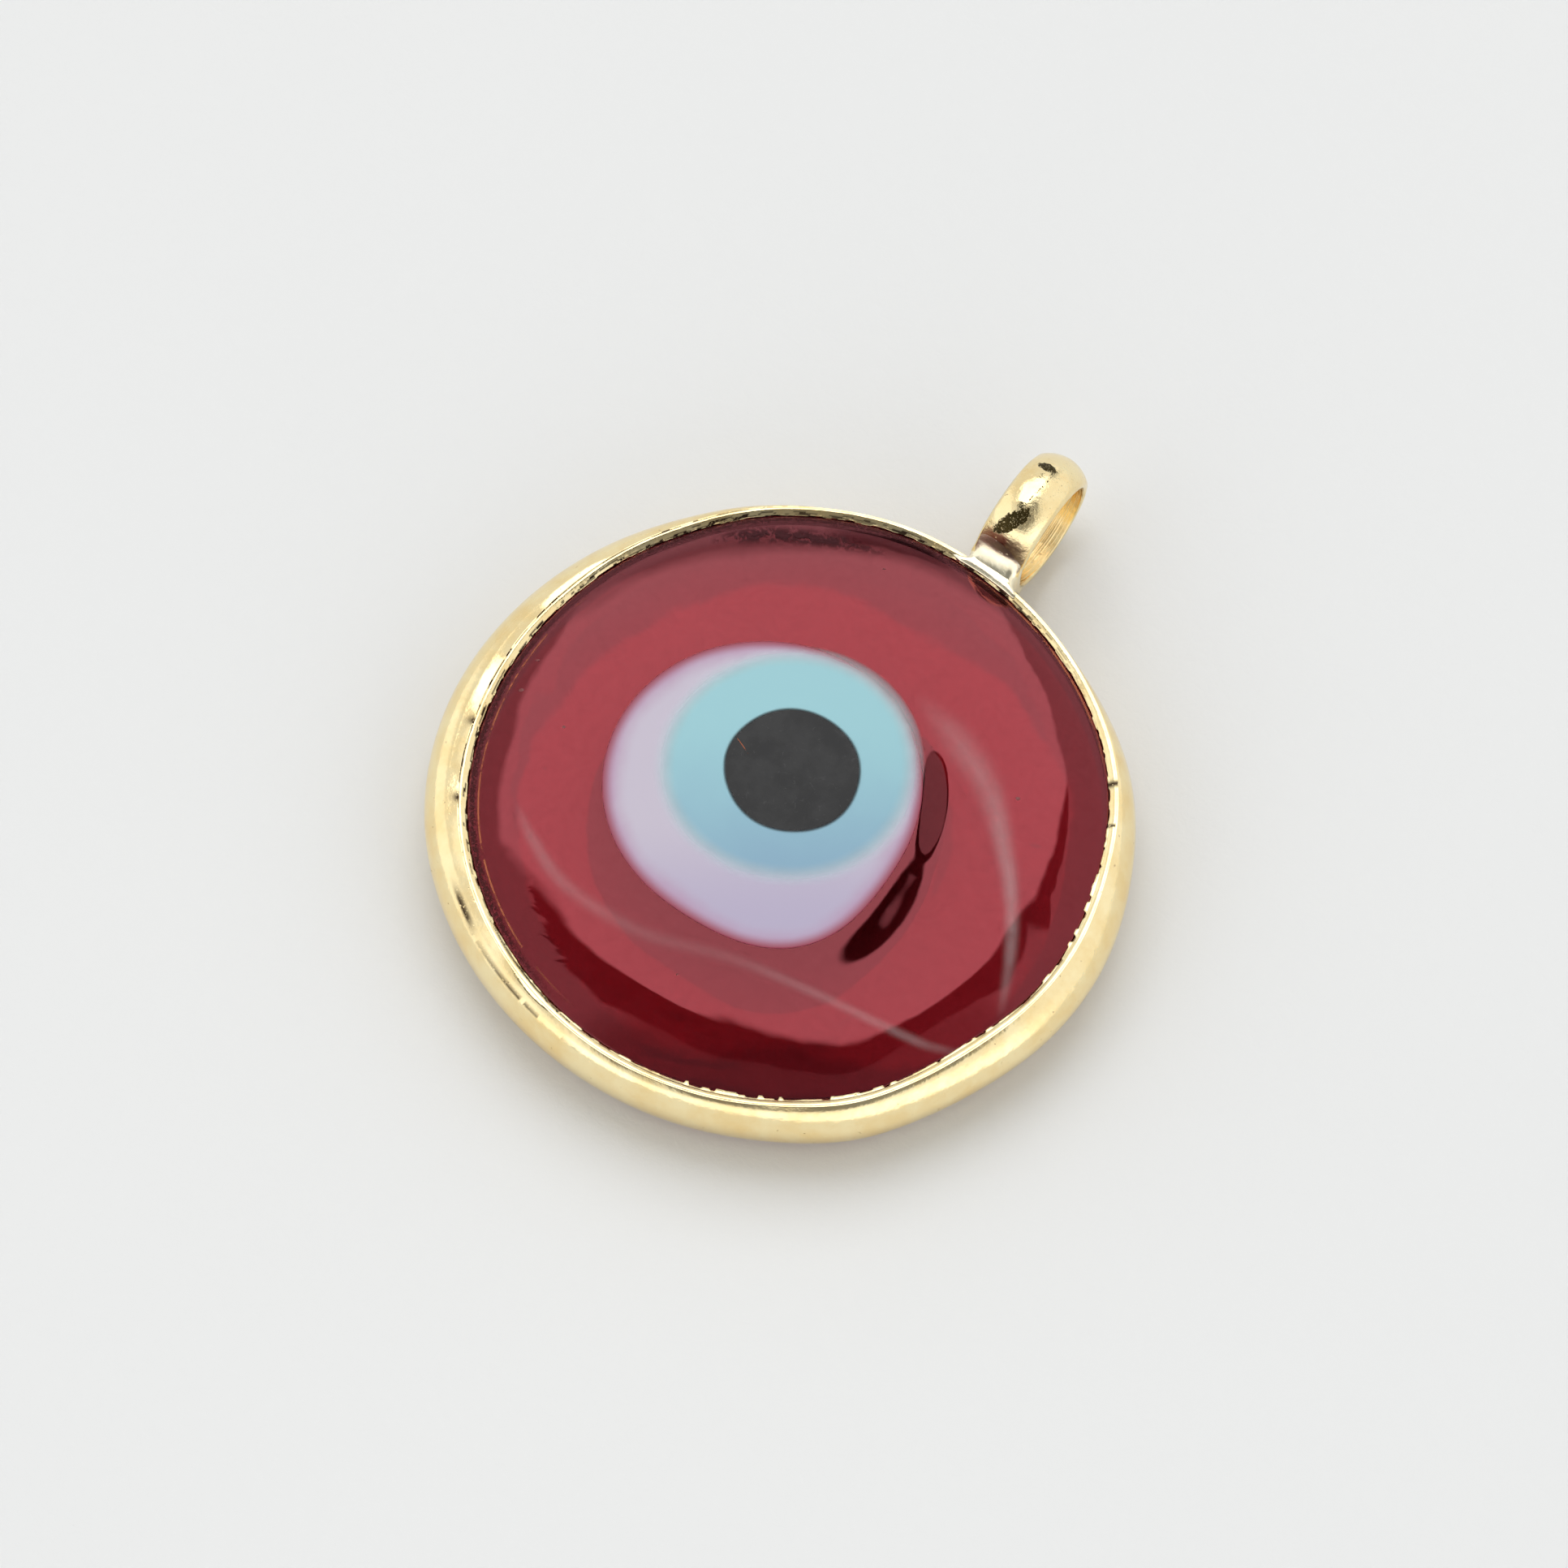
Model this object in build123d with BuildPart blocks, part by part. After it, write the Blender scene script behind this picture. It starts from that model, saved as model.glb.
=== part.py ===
"""Gold-edged glass evil eye charm, lying on its flat back with the front up.

Frame: the origin is the middle of the flat glass back, +Z is out of the front, and +Y points to the bail.
All sizes are in millimetres and all angles in degrees.
"""
from build123d import *
import math
import os

# ---- glass disc -------------------------------------------------------------------------------------
BACK_R = 8.40           # flat back face
GLASS_R = 9.14          # widest, under the metal band
GLASS_WIDEST_Z = 1.35
FRONT_R = 8.94          # where the front face meets the lip of the band
FRONT_RIM_Z = 2.48
DOME_Z = 3.35           # top of the disc's shallow dome

# ---- eye: three drops of opaque glass melted into the front, one on another ---------------------------
EYE_X, EYE_Y = -0.64, -0.18     # middle of the white drop
EYE_TOP_Z = 3.68                # the eye swells a little above the dome
EYE_SWELL_R = 19.0              # radius of the sphere that the eye's face follows
WHITE_DEPTH = 1.10
WHITE_R = 4.50
WHITE_SHIFT, WHITE_SHIFT_ANGLE = 0.18, 161.0    # fuller on this side
WHITE_LOBE = 0.56               # the white ran out to a rounded corner on one side
WHITE_LOBE_ANGLE = 323.0
WHITE_LOBE_SPREAD = 26.0
IRIS_X, IRIS_Y, IRIS_R = -0.54, 0.67, 3.48
IRIS_DEPTH = 0.75
PUPIL_X, PUPIL_Y, PUPIL_R = -0.31, 0.61, 1.92
PUPIL_DEPTH = 0.45
DROP_TAPER = 38.0               # how far the side of a drop leans in towards its underside
DROP_SPARE = 0.60               # height that a drop is built above the eye's face, then cut back to it
WHITE_EDGE_DROP = 0.40          # how far the white's outline lies below the top of the eye
WHITE_FOOT = 0.72               # size of the white drop's underside, as a share of its face

# ---- plated edge band -------------------------------------------------------------------------------
BAND_BOTTOM_Z = 0.50
BAND_TOP_Z = 2.62
BAND_MIDDLE_Z = 1.56
BAND_EDGE_R = 9.22              # crease between the wall of the band and its front lip
BAND_WALL_R = 9.77              # mean radius of the bulging wall
BAND_SHIFT, BAND_SHIFT_ANGLE = 0.25, 245.0      # the metal is thicker on this side
BAND_OVAL, BAND_OVAL_ANGLE = 0.29, 10.0         # and the outline is a little oval
LIP_REACH = 0.34                # how far the lips reach in over the glass
OUTLINE_POINTS = 24

# ---- bail -------------------------------------------------------------------------------------------
BAIL_Y = 11.36
BAIL_Z = 2.14
BAIL_R = 2.12
BORE_R = 1.62
BAIL_WIDTH = 1.58
BAIL_EDGE_R = 1.78              # radius where the domed outside meets the flat end faces
BAIL_LEAN = 5.0                 # the ring was soldered on slightly askew, about +Y
BAIL_YAW = 2.5                  # and about +Z
NECK_ROOT_WIDTH, NECK_TIP_WIDTH = 2.00, 1.30
NECK_ROOT_Y, NECK_TIP_Y = 9.05, 9.90
NECK_ROOT_TOP_Z, NECK_TIP_TOP_Z = 2.56, 3.45
NECK_BOTTOM_Z = 0.80
NECK_CORNER_R = 0.45

os.makedirs("parts", exist_ok=True)


def wave(angle, size, at, lobes=1):
    """A smooth swelling of a round outline, largest at one angle and repeated for each lobe."""
    return size * math.cos(math.radians(lobes * (angle - at)))


def band_radius(angle, bulge):
    """Outline of the band: the crease at bulge 0, the fullest part of the wall at bulge 1."""
    uneven = wave(angle, BAND_SHIFT, BAND_SHIFT_ANGLE) + wave(angle, BAND_OVAL, BAND_OVAL_ANGLE, lobes=2)
    return BAND_EDGE_R + bulge * (BAND_WALL_R - BAND_EDGE_R + uneven)


def band_bulge(height):
    """Share of the full bulge at a height on the band's half-round wall."""
    half = BAND_TOP_Z - BAND_MIDDLE_Z if height > BAND_MIDDLE_Z else BAND_MIDDLE_Z - BAND_BOTTOM_Z
    return math.sqrt(max(0.0, 1 - ((height - BAND_MIDDLE_Z) / half) ** 2))


def white_radius(angle):
    """Outline of the white drop: round, with one soft corner."""
    away = (angle - WHITE_LOBE_ANGLE + 180) % 360 - 180
    corner = WHITE_LOBE * math.exp(-((away / WHITE_LOBE_SPREAD) ** 2))
    return WHITE_R + wave(angle, WHITE_SHIFT, WHITE_SHIFT_ANGLE) + corner


def outline(radius_at, points=OUTLINE_POINTS, middle=(0, 0), scale=1.0):
    """Points of a closed outline, from a function that gives its radius at an angle."""
    angles = [360 * index / points for index in range(points)]
    return [
        (middle[0] + scale * radius_at(angle) * math.cos(math.radians(angle)),
         middle[1] + scale * radius_at(angle) * math.sin(math.radians(angle)))
        for angle in angles
    ]


# ---- construction solids ----------------------------------------------------------------------------
with BuildPart() as swell:
    with Locations((EYE_X, EYE_Y, EYE_TOP_Z - EYE_SWELL_R)):
        Sphere(EYE_SWELL_R)

with BuildPart() as white_drop:
    face_z = EYE_TOP_Z - WHITE_EDGE_DROP
    for level, size in ((face_z - WHITE_DEPTH, WHITE_FOOT), (face_z, 1.0), (EYE_TOP_Z + DROP_SPARE, 1.0)):
        with BuildSketch(Plane.XY.offset(level)):
            with BuildLine():
                Spline(*outline(white_radius, middle=(EYE_X, EYE_Y), scale=size), periodic=True)
            make_face()
    loft(ruled=True)


def drop_cone(x, y, face_radius, depth):
    """A round drop, face_radius wide at the eye's face, with a side that leans in to its underside."""
    lean = math.tan(math.radians(DROP_TAPER))
    face_drop = face_radius**2 / (2 * EYE_SWELL_R)
    with BuildPart() as cone:
        with Locations((x, y, EYE_TOP_Z - depth)):
            Cone(
                face_radius - (depth - face_drop) * lean,
                face_radius + (DROP_SPARE + face_drop) * lean,
                depth + DROP_SPARE,
                align=(Align.CENTER, Align.CENTER, Align.MIN),
            )
    return cone.part


iris_drop = drop_cone(IRIS_X, IRIS_Y, IRIS_R, IRIS_DEPTH)
pupil_drop = drop_cone(PUPIL_X, PUPIL_Y, PUPIL_R, PUPIL_DEPTH)

# ---- pupil ------------------------------------------------------------------------------------------
with BuildPart() as eye_pupil:
    add(pupil_drop)
    add(swell.part, mode=Mode.INTERSECT)
eye_pupil.part.label = "eye_pupil"

# ---- iris, with the pupil let into it ---------------------------------------------------------------
with BuildPart() as eye_iris:
    add(iris_drop)
    add(swell.part, mode=Mode.INTERSECT)
    add(pupil_drop, mode=Mode.SUBTRACT)
eye_iris.part.label = "eye_iris"

# ---- white of the eye, with the iris let into it ----------------------------------------------------
with BuildPart() as eye_white:
    add(white_drop.part)
    add(swell.part, mode=Mode.INTERSECT)
    add(iris_drop, mode=Mode.SUBTRACT)
eye_white.part.label = "eye_white"

# ---- red glass disc: flat back, rounded edge, shallow dome, pocket for the eye ------------------------
dome_rise = DOME_Z - FRONT_RIM_Z
dome_radius = (FRONT_R**2 + dome_rise**2) / (2 * dome_rise)

with BuildPart() as disc_blank:
    with BuildSketch(Plane.XZ):
        with BuildLine():
            Polyline((0, DOME_Z), (0, 0), (BACK_R, 0))
            Spline(
                (BACK_R, 0),
                (GLASS_R, GLASS_WIDEST_Z),
                (FRONT_R, FRONT_RIM_Z),
                tangents=((1, 0.35), (-0.35, 0.8)),
            )
            RadiusArc((FRONT_R, FRONT_RIM_Z), (0, DOME_Z), -dome_radius)
        make_face()
    revolve(axis=Axis.Z)

with BuildPart() as glass_disc:
    add(disc_blank.part)
    add(white_drop.part, mode=Mode.SUBTRACT)
glass_disc.part.label = "glass_disc"

# ---- bail: a wide ring, domed outside and flat in the bore ------------------------------------------
bail_middle = Vector(0, BAIL_Y, BAIL_Z)
bail_along = Vector(1, 0, 0).rotate(Axis.Y, BAIL_LEAN).rotate(Axis.Z, BAIL_YAW)
bail_outward = Vector(0, 1, 0).rotate(Axis.Z, BAIL_YAW)
bail_section = Plane(origin=bail_middle, x_dir=bail_along, z_dir=bail_along.cross(bail_outward))

with BuildPart() as bail_ring:
    with BuildSketch(bail_section):
        with BuildLine():
            Polyline(
                (BAIL_WIDTH / 2, BAIL_EDGE_R),
                (BAIL_WIDTH / 2, BORE_R),
                (-BAIL_WIDTH / 2, BORE_R),
                (-BAIL_WIDTH / 2, BAIL_EDGE_R),
            )
            ThreePointArc((-BAIL_WIDTH / 2, BAIL_EDGE_R), (0, BAIL_R), (BAIL_WIDTH / 2, BAIL_EDGE_R))
        make_face()
    revolve(axis=Axis(bail_middle, bail_along))
bail_ring.part.label = "bail_ring"

with BuildPart() as bail_core:
    with BuildSketch(Plane(origin=bail_middle, x_dir=bail_outward, z_dir=bail_along)):
        Circle(BAIL_EDGE_R)
    extrude(amount=BAIL_WIDTH, both=True)

# ---- edge band: half-round wall with a lip over the front and one under the back ----------------------
with BuildPart() as edge_band:
    wall_levels = (
        BAND_BOTTOM_Z,
        BAND_BOTTOM_Z + 0.35,
        BAND_MIDDLE_Z - 0.45,
        BAND_MIDDLE_Z + 0.45,
        BAND_TOP_Z - 0.35,
        BAND_TOP_Z,
    )
    for level in wall_levels:
        with BuildSketch(Plane.XY.offset(level)):
            with BuildLine():
                share = band_bulge(level)
                Spline(*outline(lambda angle: band_radius(angle, share)), periodic=True)
            make_face()
    loft()
    Cylinder(
        BAND_EDGE_R - LIP_REACH,
        2 * BAND_TOP_Z,
        align=(Align.CENTER, Align.CENTER, Align.CENTER),
        mode=Mode.SUBTRACT,
    )
    for neighbour in (disc_blank, bail_ring):
        add(neighbour.part, mode=Mode.SUBTRACT)
edge_band.part.label = "edge_band"

# ---- neck: the plated fillet that joins the ring to the band ------------------------------------------
with BuildPart() as bail_neck:
    for y, width, top in (
        (NECK_ROOT_Y, NECK_ROOT_WIDTH, NECK_ROOT_TOP_Z),
        (NECK_TIP_Y, NECK_TIP_WIDTH, NECK_TIP_TOP_Z),
    ):
        with BuildSketch(Plane.XZ.offset(-y)):
            with Locations((0, (top + NECK_BOTTOM_Z) / 2)):
                RectangleRounded(width, top - NECK_BOTTOM_Z, NECK_CORNER_R)
    loft()
    for neighbour in (edge_band, disc_blank, bail_ring, bail_core):
        add(neighbour.part, mode=Mode.SUBTRACT)
bail_neck.part.label = "bail_neck"

for piece in (glass_disc, eye_white, eye_iris, eye_pupil, edge_band, bail_ring, bail_neck):
    export_step(piece.part, f"parts/{piece.part.label}.step")
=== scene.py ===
import math

import bpy
import numpy as np
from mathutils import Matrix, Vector


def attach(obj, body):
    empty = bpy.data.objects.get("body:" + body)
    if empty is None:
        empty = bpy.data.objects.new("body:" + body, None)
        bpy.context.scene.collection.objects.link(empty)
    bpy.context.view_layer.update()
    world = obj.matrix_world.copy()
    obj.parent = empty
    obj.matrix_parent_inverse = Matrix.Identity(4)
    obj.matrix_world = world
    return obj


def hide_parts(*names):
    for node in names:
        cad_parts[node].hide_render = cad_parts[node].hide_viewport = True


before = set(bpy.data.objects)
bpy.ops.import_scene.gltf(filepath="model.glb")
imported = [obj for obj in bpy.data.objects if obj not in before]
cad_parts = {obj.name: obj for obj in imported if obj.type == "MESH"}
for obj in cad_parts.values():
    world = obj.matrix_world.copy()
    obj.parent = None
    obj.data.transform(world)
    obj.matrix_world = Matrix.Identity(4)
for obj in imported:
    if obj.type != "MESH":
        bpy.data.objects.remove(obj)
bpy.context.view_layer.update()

MM = 0.001

# ---- where the camera stands, and directions as it sees them -----------------------------------------
VIEW_AZIMUTH, VIEW_ELEVATION = math.radians(36.8), math.radians(65.0)
VIEW_DISTANCE = 0.800
VIEW_LENS, VIEW_SENSOR = 654.4, 36.0
AIM_HEIGHT, AIM_RIGHT, AIM_UP = 2.48, -0.114, 0.706     # mm
TO_RIGHT = Vector((math.cos(VIEW_AZIMUTH), math.sin(VIEW_AZIMUTH), 0.0))
AWAY = Vector((-math.sin(VIEW_AZIMUTH), math.cos(VIEW_AZIMUTH), 0.0))
TO_CAMERA = AWAY * -math.cos(VIEW_ELEVATION) + Vector((0, 0, math.sin(VIEW_ELEVATION)))
VIEW_TURN = 36.8        # degrees from an angle as the camera sees it to the same angle in the frame

# ---- glass, mm ---------------------------------------------------------------------------------------
RIM_R, RIM_Z = 8.94, 2.50
DOME_Z, DOME_POWER = 3.35, 3.8
GLASS_R, GLASS_WIDEST_Z = 9.14, 1.35
BACK_R = 8.40

# ---- eye, mm -----------------------------------------------------------------------------------------
EYE_X, EYE_Y = -0.64, -0.18
EYE_SWELL, SWELL_REACH = 0.31, 1.28
WHITE_R, WHITE_SHIFT, WHITE_SHIFT_ANGLE = 4.50, 0.18, 161.0
WHITE_LOBE, WHITE_LOBE_ANGLE, WHITE_LOBE_SPREAD = 0.56, 323.0, 26.0
IRIS_X, IRIS_Y, IRIS_R = -0.54, 0.67, 3.48
PUPIL_X, PUPIL_Y, PUPIL_R = -0.31, 0.61, 1.92

# ---- metal, mm ---------------------------------------------------------------------------------------
BAND_BOTTOM_Z, BAND_TOP_Z, BAND_MIDDLE_Z = 0.50, 2.62, 1.56
CREASE_R, BULGE = 9.22, 0.55
BAIL_MIDDLE = np.array((0.0, 11.36, 2.14))
BAIL_R, BORE_R, BAIL_WIDTH, BAIL_EDGE_R = 2.12, 1.62, 1.58, 1.78
BAIL_LEAN, BAIL_YAW = math.radians(5.0), math.radians(2.5)


# ---- small helpers -----------------------------------------------------------------------------------
def near(angle, at):
    """Signed difference of two angles in degrees, from -180 to 180."""
    return (angle - at + 180.0) % 360.0 - 180.0


def hump(angle, at, spread):
    """1 at an angle, falling smoothly to 0 on both sides of it."""
    return np.exp(-((near(angle, at) / spread) ** 2))


def smooth(t):
    t = np.clip(t, 0.0, 1.0)
    return t * t * (3 - 2 * t)


def waves(angle, size, lowest, highest, rng):
    """A smooth uneven line round a circle, made of whole waves from lowest to highest."""
    total = np.zeros_like(angle)
    for count in range(lowest, highest + 1):
        total += rng.normal() * np.cos(np.radians(count * angle) + rng.uniform(0, 2 * math.pi))
    return size * total / math.sqrt(highest - lowest + 1)


def new_mesh(name, points, faces, material, attributes=None):
    """A smooth-shaded piece from points in mm, with a value for each point in each attribute."""
    mesh = bpy.data.meshes.new(name)
    mesh.from_pydata((np.asarray(points, float) * MM).tolist(), [], faces)
    mesh.validate()
    mesh.update()
    for polygon in mesh.polygons:
        polygon.use_smooth = True
    for key, values in (attributes or {}).items():
        layer = mesh.attributes.new(key, "FLOAT", "POINT")
        layer.data.foreach_set("value", np.asarray(values, np.float32))
    mesh.materials.append(material)
    piece = bpy.data.objects.new(name, mesh)
    bpy.context.scene.collection.objects.link(piece)
    return piece


def grid_faces(rows, columns, close_rows=False, close_columns=True, start=0):
    """Quads of a grid of points stored row by row."""
    faces = []
    for i in range(rows if close_rows else rows - 1):
        for j in range(columns if close_columns else columns - 1):
            a, b = start + i * columns, start + ((i + 1) % rows) * columns
            k = (j + 1) % columns
            faces.append((a + j, a + k, b + k, b + j))
    return faces


def capped_rings(rings, top_first=True):
    """Points and faces of a closed body from rings of points, with a middle point at each end."""
    rings = np.asarray(rings)
    count, columns, _ = rings.shape
    points = [rings[0].mean(0), *rings.reshape(-1, 3), rings[-1].mean(0)]
    last = len(points) - 1
    faces = grid_faces(count, columns, start=1)
    for j in range(columns):
        k = (j + 1) % columns
        faces.append((0, 1 + k, 1 + j))
        faces.append((last, last - columns + j, last - columns + k))
    if top_first:
        faces = [tuple(reversed(f)) for f in faces]
    return np.array(points), faces


# ---- front of the glass ------------------------------------------------------------------------------
ripple_rng = np.random.default_rng(5)
RIPPLES = [(ripple_rng.uniform(0, 2 * math.pi), ripple_rng.uniform(0, 2 * math.pi),
            ripple_rng.uniform(2.2, 5.0)) for _ in range(9)]


def seen(right, up):
    """A place on the front, from its distances right and up from the middle in the camera's view, in mm."""
    spot = TO_RIGHT * right + AWAY * (up / math.sin(VIEW_ELEVATION))
    return spot.x, spot.y


# Slight lumps of the front: place, height, half length, half width, and the angle they run at.
FRONT_BUMPS = (
    (seen(-3.5, -5.5), 0.016, 1.3, 0.30, VIEW_TURN - 33.0),
    (seen(-4.9, -4.0), -0.010, 1.0, 0.40, VIEW_TURN - 40.0),
    (seen(3.4, 5.9), -0.010, 1.6, 0.60, VIEW_TURN - 30.0),
    (seen(-6.0, 2.6), 0.010, 1.8, 0.70, VIEW_TURN + 60.0),
)


# Dips that make the groove beside the eye: depth, angle round the eye, its spread, and the distances past the
# eye's outline where the dip starts, is deepest, and has run out.
EYE_DIPS = (
    (0.20, 33.0, 23.0, -0.20, 0.95, 3.4),
    (0.17, -9.0, 24.0, -0.05, 1.40, 3.7),
)
RIPPLE_HEIGHT = 0.0020


def white_radius(angle):
    away = near(angle, WHITE_LOBE_ANGLE)
    return (WHITE_R + WHITE_SHIFT * np.cos(np.radians(angle - WHITE_SHIFT_ANGLE))
            + WHITE_LOBE * np.exp(-((away / WHITE_LOBE_SPREAD) ** 2))
            + 0.20 * hump(angle, 300.0, 22.0) - 0.07 * hump(angle, 128.0, 40.0))


def handmade(angle):
    """How far the rim of the glass and the lip of the band stray from a true circle at an angle."""
    seen_at = angle - VIEW_TURN
    return (0.04 * hump(seen_at, 118, 10) + 0.07 * hump(seen_at, 182, 24) + 0.08 * hump(seen_at, 8, 16)
            + 0.07 * hump(seen_at, 281, 9) - 0.15 * hump(seen_at, 305, 13) - 0.04 * hump(seen_at, 345, 14)
            - 0.05 * hump(seen_at, 215, 30) + 0.13 * hump(seen_at, 95, 13) + 0.14 * hump(seen_at, 72, 18))


def front_z(x, y):
    """Height of the front: a flat dome with rounded shoulders, the eye's swell and the dips beside it."""
    r = np.hypot(x, y)
    angle = np.degrees(np.arctan2(y, x))
    rim = RIM_R + handmade(angle)
    z = DOME_Z - (DOME_Z - RIM_Z) * np.minimum(r / rim, 1.03) ** DOME_POWER
    ex, ey = x - EYE_X, y - EYE_Y
    away, turn = np.hypot(ex, ey), np.degrees(np.arctan2(ey, ex))
    edge = white_radius(turn)
    past = away - edge
    t = away / (edge * (SWELL_REACH - 0.08 * hump(turn, 10.0, 42.0)))
    z = z + EYE_SWELL * np.maximum(1 - t * t, 0.0) ** 2
    for deep, turn_at, spread, start, end, level in EYE_DIPS:
        dip = smooth((past - start) / (end - start)) - smooth((past - end) / (level - end))
        z = z - deep * hump(turn, turn_at, spread) * dip
    for spot, height, long, wide, turn_at in FRONT_BUMPS:
        dx, dy = x - spot[0], y - spot[1]
        c, s = math.cos(math.radians(turn_at)), math.sin(math.radians(turn_at))
        z = z + height * np.exp(-(((dx * c + dy * s) / long) ** 2) - (((dy * c - dx * s) / wide) ** 2))
    calm = np.clip((RIM_R - r) / 1.5, 0.0, 1.0)
    for turn_at, phase, length in RIPPLES:
        pace = 2 * math.pi / length
        z = z + RIPPLE_HEIGHT * calm * np.cos(pace * (x * math.cos(turn_at) + y * math.sin(turn_at)) + phase)
    return z


def glass_side(z):
    """Radius of the rounded side of the glass at a height, before its unevenness."""
    up = np.clip((z - GLASS_WIDEST_Z) / (RIM_Z - GLASS_WIDEST_Z), 0, 1)
    down = np.clip((GLASS_WIDEST_Z - z) / GLASS_WIDEST_Z, 0, 1)
    return (GLASS_R - (GLASS_R - RIM_R) * up**2
            - (GLASS_R - BACK_R) * (1 - np.sqrt(np.maximum(1 - down**2.4, 0))))


# ---- node helpers ------------------------------------------------------------------------------------
class Value:
    """A socket that can be added, multiplied and compared, by Math nodes."""

    def __init__(self, tree, socket):
        self.tree, self.socket = tree, socket

    def math(self, operation, *others, clamp=False):
        node = self.tree.nodes.new("ShaderNodeMath")
        node.operation, node.use_clamp = operation, clamp
        for slot_index, item in enumerate((self, *others)):
            if isinstance(item, Value):
                self.tree.links.new(item.socket, node.inputs[slot_index])
            else:
                node.inputs[slot_index].default_value = float(item)
        return Value(self.tree, node.outputs[0])

    def __add__(self, other):
        return self.math("ADD", other)

    def __sub__(self, other):
        return self.math("SUBTRACT", other)

    def __mul__(self, other):
        return self.math("MULTIPLY", other)

    def __truediv__(self, other):
        return self.math("DIVIDE", other)

    def step(self, low, high, to_low=0.0, to_high=1.0):
        """Smoothly from to_low to to_high as the value goes from low to high."""
        node = self.tree.nodes.new("ShaderNodeMapRange")
        node.interpolation_type = "SMOOTHSTEP"
        self.tree.links.new(self.socket, node.inputs["Value"])
        for key, number in (("From Min", low), ("From Max", high), ("To Min", to_low), ("To Max", to_high)):
            node.inputs[key].default_value = number
        return Value(self.tree, node.outputs["Result"])


class Tree:
    """Shorthand for the nodes of one material or world."""

    def __init__(self, tree):
        self.tree = tree
        tree.nodes.clear()

    def node(self, kind, **settings):
        node = self.tree.nodes.new(kind)
        for key, value in settings.items():
            setattr(node, key, value)
        return node

    def place(self):
        """x, y, z in mm, from the piece's own coordinates, which are the frame's."""
        node = self.node("ShaderNodeTexCoord")
        scale = self.node("ShaderNodeVectorMath", operation="SCALE")
        self.tree.links.new(node.outputs["Object"], scale.inputs[0])
        scale.inputs["Scale"].default_value = 1 / MM
        split = self.node("ShaderNodeSeparateXYZ")
        self.tree.links.new(scale.outputs["Vector"], split.inputs[0])
        return scale.outputs["Vector"], [Value(self.tree, split.outputs[k]) for k in "XYZ"]

    def noise(self, vector, scale, detail=3.0, rough=0.5, distort=0.0):
        node = self.node("ShaderNodeTexNoise")
        self.tree.links.new(vector, node.inputs["Vector"])
        for key, number in (("Scale", scale), ("Detail", detail), ("Roughness", rough),
                            ("Distortion", distort)):
            node.inputs[key].default_value = number
        return Value(self.tree, node.outputs["Fac"])

    def attribute(self, name):
        node = self.node("ShaderNodeAttribute", attribute_name=name)
        return Value(self.tree, node.outputs["Fac"])

    def mix(self, share, first, second):
        """Colour between first and second; each is a colour or the output of another mix."""
        node = self.node("ShaderNodeMix", data_type="RGBA")
        if isinstance(share, Value):
            self.tree.links.new(share.socket, node.inputs[0])
        else:
            node.inputs[0].default_value = share
        for item, key in ((first, 6), (second, 7)):
            if isinstance(item, tuple):
                node.inputs[key].default_value = (*item, 1.0)
            else:
                self.tree.links.new(item, node.inputs[key])
        return node.outputs[2]

    def shader(self, colour, rough, bump=None, bump_distance=0.01, strength=1.0, **constants):
        """One Principled surface. bump is a height in mm."""
        node = self.node("ShaderNodeBsdfPrincipled")
        self.tree.links.new(colour, node.inputs["Base Color"])
        if isinstance(rough, Value):
            self.tree.links.new(rough.socket, node.inputs["Roughness"])
        else:
            node.inputs["Roughness"].default_value = rough
        if bump is not None:
            bumps = self.node("ShaderNodeBump")
            bumps.inputs["Distance"].default_value = bump_distance * MM
            bumps.inputs["Strength"].default_value = strength
            self.tree.links.new(bump.socket, bumps.inputs["Height"])
            self.tree.links.new(bumps.outputs["Normal"], node.inputs["Normal"])
        for key, number in constants.items():
            node.inputs[key.replace("_", " ")].default_value = number
        out = self.node("ShaderNodeOutputMaterial")
        self.tree.links.new(node.outputs[0], out.inputs["Surface"])
        return node, out


def new_material(name):
    material = bpy.data.materials.new(name)
    material.use_nodes = True
    return material, Tree(material.node_tree)


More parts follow.
